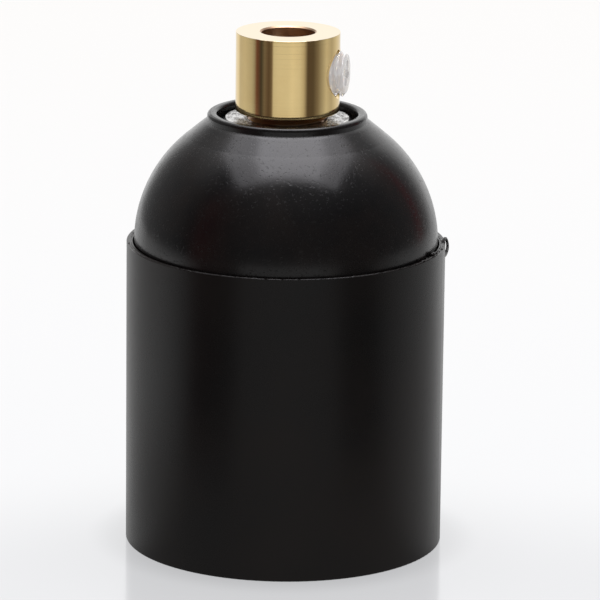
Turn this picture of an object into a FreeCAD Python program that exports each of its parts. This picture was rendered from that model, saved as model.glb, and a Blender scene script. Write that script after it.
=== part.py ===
"""Screw-shell lamp holder with a smooth moulded skirt, a domed cap and a turned brass cord grip.

The holder stands on the open rim of its skirt.  The origin is the centre of that rim, +Z runs up
the common axis towards the cord, and the cord grip's clamp screw points along +X.  The skirt
carries the lamp thread; the cap screws down into it and clamps a porcelain contact block that is
keyed to the cap.  All sizes are in millimetres.
"""

import FreeCAD
import Part

import math
import os

Vector = FreeCAD.Vector
UP = Vector(0, 0, 1)
AXIS = Vector(0, 0, 0)

# Running and seating clearances
SEAT_GAP = 0.05          # between faces of two bodies that seat on each other
SLIDE_GAP = 0.07         # radial, round a screw that travels in its hole
POCKET_GAP = 0.15        # round a terminal in its porcelain pocket
BLOCK_GAP = 0.35         # radial, round the contact block inside the cap
THREAD_GAP = 0.16        # on every side of the cap's thread
SPIGOT_GAP = 0.26        # radial, between the cap's spigot and the skirt

# Skirt: one moulding with the lamp thread in an inner sleeve
SKIRT_HEIGHT = 38.45
SKIRT_WALL = 2.4
SKIRT_HOLLOW = 2.35      # between the sleeve and that wall
LIP_WALL = 0.75          # the thin lip that hides the joint with the cap
LIP_DEPTH = 1.8
LIP_GAP = 0.18           # radial, between that lip and the dome
MOUTH_DEPTH = 6.5        # from the rim to the foot of the lamp thread
WEB_THICKNESS = 2.6      # joins the sleeve to the outer wall
SLEEVE_HEIGHT = 13.8
SLEEVE_WALL = 1.9        # outside the root of the lamp thread
RIM_ROUND = 0.12

# E27 lamp thread
LAMP_CREST_RADIUS = 12.45
LAMP_THREAD_DEPTH = 0.9
LAMP_PITCH = 3.629
LAMP_GROOVE_RADIUS = 1.025
LAMP_THREAD_LENGTH = 10.6    # from the foot of the sleeve; above it the bore is plain
LAMP_LEAD_IN = 0.9       # chamfer at the mouth of the thread

# Thread between the cap and the skirt
CAP_PITCH = 2.5
CAP_THREAD_DEPTH = 0.65
CAP_TOOTH_FOOT = 1.44    # axial width of the tooth at its foot
CAP_TOOTH_TIP = 0.76     # and at its tip
CAP_THREAD_START = 0.75  # from the spigot's end to the middle of the first tooth
CAP_THREAD_TURNS = 2.3
TOOTH_BITE = 0.3         # how far a thread runs into the wall that carries it

# Cap: a domed moulding with a raised collar round the threaded bush
CAP_WALL = 2.3
SPIGOT_WALL = 1.6
DOME_ARC_RADIUS = 17.3   # it starts level with the skirt's lip
COLLAR_RADIUS = 10.0
COLLAR_WALL = 1.25
COLLAR_RISE = 1.35       # above the dome at the collar's outside
COLLAR_ROUND = 0.45
COLLAR_FOOT_ROUND = 0.5
RECESS_DEPTH = 1.85
CROWN_THICKNESS = 3.2    # under the recess
KEY_WIDTH = 2.6
KEY_HEIGHT = 1.1

# Threaded bush and its washer, riveted through the crown of the cap
WASHER_GAP = 0.65        # radial, between the washer and the collar
WASHER_THICKNESS = 1.2
WASHER_BEVEL = 0.4
BARREL_RADIUS = 6.5
BARREL_FLAT = 6.0        # half the distance across its two flats
RIVET_FLARE = 0.6
BUSH_COLLAR_FLATS = 15.5
BUSH_COLLAR_HEIGHT = 4.5
LOCK_SCREW_RADIUS = 1.5
LOCK_SCREW_SLOT = 0.6

# Cord grip: turned brass with an M10 x 1 neck
GRIP_RADIUS = 6.5
GRIP_HEIGHT = 9.95
GRIP_LIFT = 0.95         # of its foot above the washer
GRIP_CHAMFER = 0.12
NECK_RADIUS = 5.0
NECK_LENGTH = 8.65
CORD_BORE_RADIUS = 3.35
CORD_BORE_CHAMFER = 0.27

# Clamp screw: clear nylon, headless, with a cross recess
CLAMP_RADIUS = 2.85
CLAMP_LENGTH = 3.95
CLAMP_SET_BACK = 0.15    # of its tip behind the wall of the cord bore
CLAMP_CHAMFER = 0.35
CROSS_SPAN = 3.3
CROSS_BLADE = 0.95
CROSS_DEPTH = 1.3

# Contact block: porcelain
FLANGE_GAP = 0.7         # radial, between the flange and the skirt
FLANGE_THICKNESS = 2.75
BLOCK_FOOT = 5.7         # height of the ring under the flange, which stands on the sleeve
CUP_MARGIN = 0.25        # radial, of the hollow under the block over the lamp thread's crest
CUP_DEPTH = 9.25
FLOOR_THICKNESS = 3.4
TERMINAL_WALL_HEIGHT = 7.2
CABLE_DISH_RADIUS = 6.0

# Terminals: brass blocks, each with a clamp screw from the side and a fixing screw from below
TERMINAL_LENGTH = 7.0
TERMINAL_WIDTH = 7.0
TERMINAL_HEIGHT = 7.4
WIRE_HOLE_RADIUS = 1.6
WIRE_HOLE_PLACE = 2.6    # its centre, from the terminal's inner end
WIRE_HOLE_DEPTH = 4.6
TERMINAL_SCREW_RADIUS = 1.7
TERMINAL_SCREW_DROP = 2.7    # its axis, below the terminal's top
TERMINAL_HEAD_RADIUS = 2.6
TERMINAL_HEAD_HEIGHT = 1.8
TERMINAL_SCREW_STROKE = 1.6  # from wide open to its head meeting the terminal
SCREW_SLOT_WIDTH = 0.8
SCREW_SLOT_DEPTH = 0.9
FIXING_SCREW_RADIUS = 1.45
FIXING_SCREW_PLACE = 5.1     # its axis, from the terminal's inner end
FIXING_SCREW_INSET = 4.95    # its axis, from the wall of the hollow under the block
FIXING_SCREW_GRIP = 2.2      # length held in the terminal
FIXING_HEAD_RADIUS = 2.7
FIXING_HEAD_HEIGHT = 1.5
LOCK_WASHER_RADIUS = 2.8
LOCK_WASHER_THICKNESS = 0.6
LOCK_WASHER_SPLIT = 0.5

# Contact springs and the button that meets the lamp's tip
SPRING_THICKNESS = 0.45
SPRING_WIDTH = 5.6
SPRING_BEND = 1.2
SPRING_FOOT = 2.95           # from the fixing screw to each end of the flat foot
BACKING_THICKNESS = 0.3      # the steel leaf behind the centre contact
CENTRE_SPRING_DROP = 2.3     # of its free end below its foot
CENTRE_SPRING_REACH = 2.8    # past the holder's axis
SIDE_SPRING_REACH = 8.0      # of the tongue below the foot
SIDE_SPRING_SET = 0.9        # from the tongue to the wall of the cup
SIDE_SPRING_LIP = 0.9        # the tongue's turned-in end
BUTTON_RADIUS = 2.2
BUTTON_HEIGHT = 0.8
BUTTON_SHANK_RADIUS = 1.0
BUTTON_UPSET_RADIUS = 1.7
BUTTON_UPSET_HEIGHT = 0.35

# Heights worked out from the sizes above
lip_floor = SKIRT_HEIGHT - LIP_DEPTH
sleeve_top = MOUTH_DEPTH + SLEEVE_HEIGHT
block_bottom = sleeve_top + SEAT_GAP
flange_bottom = block_bottom + BLOCK_FOOT
flange_top = flange_bottom + FLANGE_THICKNESS
cup_ceiling = block_bottom + CUP_DEPTH
terminal_seat = cup_ceiling + FLOOR_THICKNESS
terminal_top = terminal_seat + TERMINAL_HEIGHT
block_top = terminal_seat + TERMINAL_WALL_HEIGHT
spigot_bottom = flange_top + SEAT_GAP
shoulder = lip_floor + SEAT_GAP

# Radii worked out from the sizes above
sleeve_outside = LAMP_CREST_RADIUS + LAMP_THREAD_DEPTH + SLEEVE_WALL
skirt_bore = sleeve_outside + SKIRT_HOLLOW
skirt_radius = skirt_bore + SKIRT_WALL
dome_radius = skirt_radius - LIP_WALL - LIP_GAP
tooth_root = skirt_bore - SPIGOT_GAP
tooth_crest = tooth_root + CAP_THREAD_DEPTH
spigot_bore = tooth_root - SPIGOT_WALL
block_radius = spigot_bore - BLOCK_GAP
flange_radius = skirt_bore - FLANGE_GAP
cup_radius = LAMP_CREST_RADIUS + CUP_MARGIN
collar_bore = COLLAR_RADIUS - COLLAR_WALL
washer_radius = collar_bore - WASHER_GAP
dome_centre = dome_radius - DOME_ARC_RADIUS

# The crown of the cap, from the height where the dome meets the collar
collar_foot = SKIRT_HEIGHT + math.sqrt(DOME_ARC_RADIUS ** 2 - (COLLAR_RADIUS - dome_centre) ** 2)
cap_top = collar_foot + COLLAR_RISE
recess_floor = cap_top - RECESS_DEPTH
ceiling = recess_floor - CROWN_THICKNESS
washer_top = recess_floor + WASHER_THICKNESS
grip_bottom = washer_top + GRIP_LIFT
grip_top = grip_bottom + GRIP_HEIGHT
neck_end = grip_bottom - NECK_LENGTH
clamp_height = grip_bottom + GRIP_HEIGHT / 2
bush_bottom = ceiling - BUSH_COLLAR_HEIGHT

# Places along X, the same on both sides of the block
fixing_place = cup_radius - FIXING_SCREW_INSET
terminal_start = fixing_place - FIXING_SCREW_PLACE
terminal_end = terminal_start + TERMINAL_LENGTH
wire_place = terminal_start + WIRE_HOLE_PLACE
terminal_screw_height = terminal_top - TERMINAL_SCREW_DROP
terminal_screw_tip = wire_place + WIRE_HOLE_RADIUS
side_stack = SPRING_THICKNESS
centre_stack = SPRING_THICKNESS + BACKING_THICKNESS
centre_spring_top = cup_ceiling - BACKING_THICKNESS
button_seat = centre_spring_top - CENTRE_SPRING_DROP - SPRING_THICKNESS


def turned(outline):
    """Revolve an outline of (radius, height) points; a pair of points in the list is an arc's middle and end."""
    edges = []
    here = start = outline[0]
    for step in outline[1:] + [start]:
        if isinstance(step[0], tuple):
            middle, end = step
            arc = Part.Arc(*(Vector(r, 0, z) for r, z in (here, middle, end)))
            edges.append(arc.toShape())
            here = end
        else:
            edges.append(Part.LineSegment(Vector(here[0], 0, here[1]), Vector(step[0], 0, step[1])).toShape())
            here = step
    return Part.Face(Part.Wire(edges)).revolve(AXIS, UP, 360)


def arc_between(centre, radius, start, end):
    """The middle and end of the arc round centre from angle start to angle end, in degrees."""
    def at(angle):
        turn = math.radians(angle)
        return (centre[0] + radius * math.cos(turn), centre[1] + radius * math.sin(turn))
    return (at((start + end) / 2), at(end))


def ring_edges(solid, places):
    """The round edges of a solid at the given (radius, height) places."""
    found = []
    for edge in solid.Edges:
        curve = edge.Curve
        if isinstance(curve, Part.Circle):
            for radius, height in places:
                if abs(curve.Radius - radius) < 1e-4 and abs(curve.Center.z - height) < 1e-4:
                    found.append(edge)
    return found


def helix_sweep(profile, radius, pitch, start, turns):
    """Sweep a closed profile that stands in the XZ plane along a right-hand helix."""
    path = Part.makeHelix(pitch, pitch * turns, radius)
    path.translate(UP * start)
    return Part.Wire(path.Edges).makePipeShell([profile], True, True)


def cut_thread(body, profile, radius, pitch, start, turns):
    """Cut a thread groove one turn at a time, each turn the first one moved up by the pitch."""
    first = helix_sweep(profile, radius, pitch, start, 1)
    for turn in range(math.ceil(turns)):
        groove = first.copy()
        groove.translate(UP * pitch * turn)
        body = body.cut(groove)
    return body


def tooth_profile(root, crest, foot_width, tip_width, height):
    """The section of a thread tooth, from inside the wall at root out to crest."""
    corners = [(root, -foot_width / 2), (crest, -tip_width / 2), (crest, tip_width / 2), (root, foot_width / 2)]
    points = [Vector(r, 0, height + z) for r, z in corners]
    return Part.makePolygon(points + points[:1])


def double_flat(radius, flat, bottom, height):
    """A round bar with two flats that face +Y and -Y."""
    bar = Part.makeCylinder(radius, height, Vector(0, 0, bottom))
    return bar.common(Part.makeBox(2 * radius, 2 * flat, height, Vector(-radius, -flat, bottom)))


def along_x(radius, start, end, height):
    """A cylinder on an axis parallel to X at the given height."""
    return Part.makeCylinder(radius, end - start, Vector(start, 0, height), Vector(1, 0, 0))


def other_side(shape):
    """The same shape turned half way round the holder's axis."""
    turned_shape = shape.copy()
    turned_shape.rotate(AXIS, UP, 180)
    return turned_shape


def skirt():
    """Outer wall and threaded sleeve in one moulding, open at both ends."""
    bore = LAMP_CREST_RADIUS
    web_top = MOUTH_DEPTH + WEB_THICKNESS
    lip_bore = skirt_radius - LIP_WALL
    body = turned([
        (skirt_bore, 0), (skirt_radius, 0), (skirt_radius, SKIRT_HEIGHT), (lip_bore, SKIRT_HEIGHT),
        (lip_bore, lip_floor), (skirt_bore, lip_floor), (skirt_bore, web_top), (sleeve_outside, web_top),
        (sleeve_outside, sleeve_top), (bore, sleeve_top), (bore, MOUTH_DEPTH), (skirt_bore, MOUTH_DEPTH),
    ])
    body = body.makeFillet(RIM_ROUND, ring_edges(body, [(skirt_radius, 0), (skirt_bore, 0)]))
    body = body.makeFillet(SKIRT_HOLLOW * 0.4, ring_edges(body, [
        (skirt_bore, MOUTH_DEPTH), (skirt_bore, web_top), (sleeve_outside, web_top),
    ]))
    body = body.makeChamfer(LAMP_LEAD_IN, ring_edges(body, [(bore, MOUTH_DEPTH), (bore, sleeve_top)]))
    return cut_cap_thread(cut_lamp_thread(body))


def cut_lamp_thread(body):
    """The round groove that an E27 lamp cap screws into; it runs out at the foot of the sleeve."""
    path_radius = LAMP_CREST_RADIUS + LAMP_THREAD_DEPTH - LAMP_GROOVE_RADIUS
    turns = math.ceil(LAMP_THREAD_LENGTH / LAMP_PITCH) + 1
    start = MOUTH_DEPTH + LAMP_THREAD_LENGTH - turns * LAMP_PITCH
    circle = Part.Circle(Vector(path_radius, 0, start), Vector(0, 1, 0), LAMP_GROOVE_RADIUS)
    return cut_thread(body, Part.Wire(circle.toShape()), path_radius, LAMP_PITCH, start, turns)


def cut_cap_thread(body):
    """The groove for the cap's tooth; it starts one pitch below the tooth and runs out at the top."""
    start = spigot_bottom + CAP_THREAD_START - CAP_PITCH
    turns = (lip_floor - start) / CAP_PITCH
    profile = tooth_profile(
        skirt_bore - TOOTH_BITE, tooth_crest + THREAD_GAP,
        CAP_TOOTH_FOOT + 2 * THREAD_GAP, CAP_TOOTH_TIP + 2 * THREAD_GAP, start,
    )
    return cut_thread(body, profile, skirt_bore, CAP_PITCH, start, turns)


def cap():
    """Domed moulding: threaded spigot below, recessed collar on top, two keys inside."""
    inside_arc = DOME_ARC_RADIUS - CAP_WALL
    inside_step = shoulder + CAP_WALL / 2
    outer_end = math.degrees(math.acos((COLLAR_RADIUS - dome_centre) / DOME_ARC_RADIUS))
    inner_end = math.degrees(math.asin((ceiling - SKIRT_HEIGHT) / inside_arc))
    inner_corner = dome_centre + inside_arc * math.cos(math.radians(inner_end))
    hole = BARREL_RADIUS + SEAT_GAP
    centre = (dome_centre, SKIRT_HEIGHT)
    body = turned([
        (spigot_bore, spigot_bottom), (tooth_root, spigot_bottom), (tooth_root, shoulder),
        (dome_radius, shoulder), (dome_radius, SKIRT_HEIGHT),
        arc_between(centre, DOME_ARC_RADIUS, 0, outer_end),
        (COLLAR_RADIUS, cap_top), (collar_bore, cap_top), (collar_bore, recess_floor),
        (hole, recess_floor), (hole, ceiling), (inner_corner, ceiling),
        arc_between(centre, inside_arc, inner_end, 0),
        (dome_radius - CAP_WALL, inside_step), (spigot_bore, inside_step),
    ])
    body = body.makeFillet(COLLAR_FOOT_ROUND, ring_edges(body, [(COLLAR_RADIUS, collar_foot)]))
    body = body.makeFillet(COLLAR_ROUND, ring_edges(body, [(COLLAR_RADIUS, cap_top), (collar_bore, cap_top)]))
    body = body.fuse(flat_cheeks(hole, ceiling, recess_floor))
    for key in keys(inside_step):
        body = body.fuse(key)
    return body.removeSplitter().fuse(cap_tooth())


def flat_cheeks(hole, bottom, top):
    """What closes the crown's round hole down to the two flats of the bush."""
    flat = BARREL_FLAT + SEAT_GAP
    plug = Part.makeCylinder(hole + TOOTH_BITE, top - bottom, Vector(0, 0, bottom))
    gap = Part.makeBox(4 * hole, 2 * flat, top - bottom, Vector(-2 * hole, -flat, bottom))
    return plug.cut(gap)


def cap_tooth():
    """The tooth of the thread that holds the cap in the skirt."""
    start = spigot_bottom + CAP_THREAD_START
    profile = tooth_profile(tooth_root - TOOTH_BITE, tooth_crest, CAP_TOOTH_FOOT, CAP_TOOTH_TIP, start)
    return helix_sweep(profile, tooth_root, CAP_PITCH, start, CAP_THREAD_TURNS)


def keys(top):
    """The two ribs inside the spigot that stop the contact block turning in the cap."""
    bottom = spigot_bottom + KEY_HEIGHT / 2
    rib = Part.makeBox(
        KEY_WIDTH, KEY_HEIGHT + TOOTH_BITE, top - bottom,
        Vector(-KEY_WIDTH / 2, spigot_bore - KEY_HEIGHT, bottom),
    )
    return [rib, other_side(rib)]


def nipple_bush():
    """Steel bush with a hexagonal collar under the crown and a rivet flare over the washer."""
    hexagon = regular_hexagon(BUSH_COLLAR_FLATS, bush_bottom, BUSH_COLLAR_HEIGHT)
    barrel = double_flat(BARREL_RADIUS, BARREL_FLAT, ceiling, washer_top - ceiling)
    body = hexagon.fuse(barrel).fuse(rivet_flare())
    bore = Part.makeCylinder(NECK_RADIUS + SEAT_GAP, washer_top - bush_bottom, Vector(0, 0, bush_bottom))
    reach = BUSH_COLLAR_FLATS / 2
    lock_hole = Part.makeCylinder(LOCK_SCREW_RADIUS, reach, Vector(0, 0, lock_height()), Vector(0, 1, 0))
    return body.cut(bore).cut(lock_hole).removeSplitter()


def regular_hexagon(across_flats, bottom, height):
    """A hexagonal prism with flats that face +Y and -Y, its lower corners turned off."""
    corner = across_flats / 2 / math.cos(math.radians(30))
    points = [Vector(corner * math.cos(math.radians(a)), corner * math.sin(math.radians(a)), bottom)
              for a in range(0, 361, 60)]
    prism = Part.Face(Part.makePolygon(points)).extrude(UP * height)
    trim = corner - across_flats / 2
    return prism.common(Part.makeCone(corner - trim, corner + height - trim, height, Vector(0, 0, bottom)))


def rivet_flare():
    """The cone that the top of the bush is spread into, flush with the washer."""
    return Part.makeCone(BARREL_RADIUS, BARREL_RADIUS + RIVET_FLARE, RIVET_FLARE,
                         Vector(0, 0, washer_top - RIVET_FLARE))


def nipple_washer():
    """Bevelled steel washer on the recess floor, countersunk for the rivet flare."""
    disc = Part.makeCylinder(washer_radius, WASHER_THICKNESS, Vector(0, 0, recess_floor))
    disc = disc.makeChamfer(WASHER_BEVEL, ring_edges(disc, [(washer_radius, washer_top)]))
    hole = double_flat(BARREL_RADIUS, BARREL_FLAT, recess_floor, WASHER_THICKNESS)
    return disc.cut(hole).cut(rivet_flare())


def lock_height():
    """The lock screw sits half way up the bush's collar."""
    return bush_bottom + BUSH_COLLAR_HEIGHT / 2


def nipple_lock_screw():
    """Grub screw in the bush's collar that bears on the cord grip's neck."""
    tip = NECK_RADIUS + SEAT_GAP
    end = BUSH_COLLAR_FLATS / 2 - SEAT_GAP
    body = Part.makeCylinder(LOCK_SCREW_RADIUS, end - tip, Vector(0, tip, lock_height()), Vector(0, 1, 0))
    slot = Part.makeBox(2 * LOCK_SCREW_RADIUS, LOCK_SCREW_SLOT * 1.5, LOCK_SCREW_SLOT,
                        Vector(-LOCK_SCREW_RADIUS, end - LOCK_SCREW_SLOT * 1.5, lock_height() - LOCK_SCREW_SLOT / 2))
    return body.cut(slot)


def cord_grip():
    """Turned brass body and threaded neck, bored for the cord and cross-drilled for the clamp screw."""
    bore = CORD_BORE_RADIUS
    body = turned([
        (bore, neck_end), (NECK_RADIUS, neck_end), (NECK_RADIUS, grip_bottom), (GRIP_RADIUS, grip_bottom),
        (GRIP_RADIUS, grip_top), (bore, grip_top),
    ])
    body = body.makeChamfer(GRIP_CHAMFER, ring_edges(body, [
        (GRIP_RADIUS, grip_bottom), (GRIP_RADIUS, grip_top), (NECK_RADIUS, neck_end),
    ]))
    body = body.makeChamfer(CORD_BORE_CHAMFER, ring_edges(body, [(bore, grip_top), (bore, neck_end)]))
    return body.cut(along_x(CLAMP_RADIUS + SLIDE_GAP, 0, GRIP_RADIUS * 1.5, clamp_height))


def clamp_screw():
    """Headless screw with its tip just behind the wall of the cord bore."""
    tip = CORD_BORE_RADIUS + CLAMP_SET_BACK
    end = tip + CLAMP_LENGTH
    body = along_x(CLAMP_RADIUS, tip, end, clamp_height)
    ends = [e for e in body.Edges if isinstance(e.Curve, Part.Circle)]
    body = body.makeChamfer(CLAMP_CHAMFER, ends)
    for turn in (45, 135):
        body = body.cut(cross_blade(end, turn))
    return body


def cross_blade(end, turn):
    """One tapered blade of the cross recess, sunk from the screw's outer face."""
    def section(x, share):
        half_span = CROSS_SPAN * share / 2
        half_blade = CROSS_BLADE * (0.6 + 0.4 * share) / 2
        corners = [(-half_span, -half_blade), (half_span, -half_blade), (half_span, half_blade),
                   (-half_span, half_blade)]
        points = [Vector(x, y, z + clamp_height) for y, z in corners]
        return Part.makePolygon(points + points[:1])
    blade = Part.makeLoft([section(end, 1.0), section(end - CROSS_DEPTH, 0.3)], True)
    blade.rotate(Vector(0, 0, clamp_height), Vector(1, 0, 0), turn)
    return blade


def contact_block():
    """Porcelain drum with a cup underneath, a flange, two terminal pockets and two key grooves."""
    body = turned([
        (0, cup_ceiling), (cup_radius, cup_ceiling), (cup_radius, block_bottom), (sleeve_outside, block_bottom),
        (sleeve_outside, flange_bottom), (flange_radius, flange_bottom), (flange_radius, flange_top),
        (block_radius, flange_top), (block_radius, block_top), (0, block_top),
    ])
    body = body.makeFillet(SLEEVE_WALL / 2, ring_edges(body, [(block_radius, block_top)]))
    pocket = terminal_pocket()
    hole = fixing_hole()
    groove = key_groove()
    for cutter in (pocket, hole, groove):
        body = body.cut(cutter).cut(other_side(cutter))
    return body.cut(cable_dish())


def terminal_pocket():
    """Room for one terminal and its screw, open at the top and at the rim of the block."""
    width = TERMINAL_WIDTH + 2 * POCKET_GAP
    start = terminal_start - POCKET_GAP
    return Part.makeBox(block_radius, width, TERMINAL_WALL_HEIGHT * 2, Vector(start, -width / 2, terminal_seat))


def fixing_hole():
    """Clearance hole in the floor for a fixing screw."""
    return Part.makeCylinder(FIXING_SCREW_RADIUS + POCKET_GAP, FLOOR_THICKNESS,
                             Vector(fixing_place, 0, cup_ceiling))


def key_groove():
    """Upright groove for one of the cap's keys, above the flange."""
    width = KEY_WIDTH + 2 * BLOCK_GAP
    bottom = spigot_bore - KEY_HEIGHT - BLOCK_GAP
    return Part.makeBox(width, KEY_HEIGHT * 3, block_top - flange_top, Vector(-width / 2, bottom, flange_top))


def cable_dish():
    """Round dish on top of the block where the cores spread out from the cord."""
    sink = CABLE_DISH_RADIUS * 2
    return Part.makeSphere(sink, Vector(0, 0, block_top + sink * math.cos(math.asin(CABLE_DISH_RADIUS / sink))))


def terminal():
    """Brass block with an upright wire hole, a side hole for its screw and a tapped hole below."""
    body = Part.makeBox(TERMINAL_LENGTH, TERMINAL_WIDTH, TERMINAL_HEIGHT,
                        Vector(terminal_start, -TERMINAL_WIDTH / 2, terminal_seat))
    upright = [e for e in body.Edges if abs(e.tangentAt(e.FirstParameter).z) > 0.99]
    body = body.makeFillet(WIRE_HOLE_RADIUS / 2, upright)
    wire_hole = Part.makeCylinder(WIRE_HOLE_RADIUS, WIRE_HOLE_DEPTH,
                                  Vector(wire_place, 0, terminal_top - WIRE_HOLE_DEPTH))
    deepest = terminal_screw_tip - TERMINAL_SCREW_STROKE
    side_hole = along_x(TERMINAL_SCREW_RADIUS + SLIDE_GAP, deepest, terminal_end, terminal_screw_height)
    tapped = Part.makeCylinder(FIXING_SCREW_RADIUS, FIXING_SCREW_GRIP, Vector(fixing_place, 0, terminal_seat))
    return body.cut(wire_hole).cut(side_hole).cut(tapped)


def terminal_screw():
    """Cheese-head screw, backed off by its stroke so that its tip is clear of the wire."""
    head_face = terminal_end + TERMINAL_SCREW_STROKE
    shank = along_x(TERMINAL_SCREW_RADIUS, terminal_screw_tip, head_face, terminal_screw_height)
    head = along_x(TERMINAL_HEAD_RADIUS, head_face, head_face + TERMINAL_HEAD_HEIGHT, terminal_screw_height)
    slot = Part.makeBox(SCREW_SLOT_DEPTH, 2 * TERMINAL_HEAD_RADIUS, SCREW_SLOT_WIDTH, Vector(
        head_face + TERMINAL_HEAD_HEIGHT - SCREW_SLOT_DEPTH, -TERMINAL_HEAD_RADIUS,
        terminal_screw_height - SCREW_SLOT_WIDTH / 2))
    return shank.fuse(head).cut(slot).removeSplitter()


def fixing_screw(stack):
    """Pan-head screw from below, through the metal stacked under the floor into the terminal."""
    head_top = cup_ceiling - stack - LOCK_WASHER_THICKNESS
    head_end = head_top - FIXING_HEAD_HEIGHT
    head = Part.makeCylinder(FIXING_HEAD_RADIUS, FIXING_HEAD_HEIGHT, Vector(fixing_place, 0, head_end))
    lower = [e for e in head.Edges if abs(e.CenterOfMass.z - head_end) < 1e-6]
    head = head.makeFillet(FIXING_HEAD_HEIGHT / 2, lower)
    shank = Part.makeCylinder(FIXING_SCREW_RADIUS, terminal_seat + FIXING_SCREW_GRIP - head_top,
                              Vector(fixing_place, 0, head_top))
    slot = Part.makeBox(2 * FIXING_HEAD_RADIUS, SCREW_SLOT_WIDTH, SCREW_SLOT_DEPTH,
                        Vector(fixing_place - FIXING_HEAD_RADIUS, -SCREW_SLOT_WIDTH / 2, head_end))
    return head.fuse(shank).cut(slot).removeSplitter()


def lock_washer(stack):
    """Split spring washer between a fixing screw's head and the metal above it."""
    place = Vector(fixing_place, 0, cup_ceiling - stack - LOCK_WASHER_THICKNESS)
    ring = Part.makeCylinder(LOCK_WASHER_RADIUS, LOCK_WASHER_THICKNESS, place)
    ring = ring.cut(Part.makeCylinder(FIXING_SCREW_RADIUS, LOCK_WASHER_THICKNESS, place))
    split = Part.makeBox(LOCK_WASHER_SPLIT, LOCK_WASHER_RADIUS, LOCK_WASHER_THICKNESS,
                         place - Vector(LOCK_WASHER_SPLIT / 2, 0, 0))
    return ring.cut(split)


def bent_line(points):
    """A line through (x, z) points with its corners rounded to the bend radius."""
    corners = [Vector(x, 0, z) for x, z in points]
    edges = []
    here = corners[0]
    for before, corner, after in zip(corners, corners[1:], corners[2:]):
        back = (before - corner).normalize()
        on = (after - corner).normalize()
        half = back.getAngle(on) / 2
        run = SPRING_BEND / math.tan(half)
        middle = corner + (back + on).normalize() * (SPRING_BEND / math.sin(half) - SPRING_BEND)
        edges.append(Part.LineSegment(here, corner + back * run).toShape())
        here = corner + on * run
        edges.append(Part.Arc(corner + back * run, middle, here).toShape())
    edges.append(Part.LineSegment(here, corners[-1]).toShape())
    return Part.Wire(edges)


def strip(points, thickness):
    """Spring metal on one side of a bent line, the other side where thickness is negative."""
    section = bent_line(points).makeOffset2D(thickness, 0, True, True)
    body = section.extrude(Vector(0, SPRING_WIDTH, 0))
    body.translate(Vector(0, -SPRING_WIDTH / 2, 0))
    height = CENTRE_SPRING_DROP
    hole = Part.makeCylinder(FIXING_SCREW_RADIUS + POCKET_GAP, 2 * height,
                             Vector(fixing_place, 0, cup_ceiling - height))
    return body.cut(hole)


def centre_contact_line():
    """The upper face of the centre contact, from its foot down to the pad over the lamp's tip."""
    pad = centre_spring_top - CENTRE_SPRING_DROP
    return [
        (fixing_place + SPRING_FOOT, centre_spring_top), (fixing_place - SPRING_FOOT, centre_spring_top),
        (BUTTON_RADIUS, pad), (-CENTRE_SPRING_REACH, pad),
    ]


def centre_contact():
    """Phosphor-bronze leaf with a round hole for the button's shank."""
    body = strip(centre_contact_line(), SPRING_THICKNESS)
    return body.cut(Part.makeCylinder(BUTTON_SHANK_RADIUS, SPRING_THICKNESS, Vector(0, 0, button_seat)))


def backing_spring():
    """Steel leaf on the back of the centre contact that ends short of its pad."""
    foot, bend, pad, end = centre_contact_line()
    share = 0.75
    tip = (bend[0] + (pad[0] - bend[0]) * share, bend[1] + (pad[1] - bend[1]) * share)
    return strip([foot, bend, tip], -BACKING_THICKNESS)


def centre_button():
    """Brass rivet in the centre contact's pad; its head meets the lamp's tip."""
    pad = button_seat + SPRING_THICKNESS
    return turned([
        (0, button_seat - BUTTON_HEIGHT), (BUTTON_RADIUS - BUTTON_HEIGHT / 2, button_seat - BUTTON_HEIGHT),
        (BUTTON_RADIUS, button_seat - BUTTON_HEIGHT / 2), (BUTTON_RADIUS, button_seat),
        (BUTTON_SHANK_RADIUS, button_seat), (BUTTON_SHANK_RADIUS, pad), (BUTTON_UPSET_RADIUS, pad),
        (BUTTON_UPSET_RADIUS, pad + BUTTON_UPSET_HEIGHT), (0, pad + BUTTON_UPSET_HEIGHT),
    ])


def side_contact():
    """Phosphor-bronze leaf with a tongue that hangs down beside the lamp's shell."""
    tongue = cup_radius - SIDE_SPRING_SET
    end = cup_ceiling - SIDE_SPRING_REACH
    return strip([
        (fixing_place - SPRING_FOOT, cup_ceiling), (tongue, cup_ceiling), (tongue, end),
        (tongue - SIDE_SPRING_LIP, end - SIDE_SPRING_LIP),
    ], -SPRING_THICKNESS)


def pieces():
    """Every piece of the holder by its name."""
    return {
        "skirt": skirt(),
        "cap": cap(),
        "nipple_bush": nipple_bush(),
        "nipple_washer": nipple_washer(),
        "nipple_lock_screw": nipple_lock_screw(),
        "cord_grip": cord_grip(),
        "clamp_screw": clamp_screw(),
        "contact_block": contact_block(),
        "centre_terminal": terminal(),
        "side_terminal": other_side(terminal()),
        "centre_terminal_screw": terminal_screw(),
        "side_terminal_screw": other_side(terminal_screw()),
        "centre_fixing_screw": fixing_screw(centre_stack),
        "side_fixing_screw": other_side(fixing_screw(side_stack)),
        "centre_lock_washer": lock_washer(centre_stack),
        "side_lock_washer": other_side(lock_washer(side_stack)),
        "centre_contact": centre_contact(),
        "backing_spring": backing_spring(),
        "centre_button": centre_button(),
        "side_contact": other_side(side_contact()),
    }


os.makedirs("parts", exist_ok=True)
for name, shape in pieces().items():
    shape.exportStep("parts/" + name + ".step")
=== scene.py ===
import math

import bpy
from mathutils import Matrix, Vector


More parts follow.
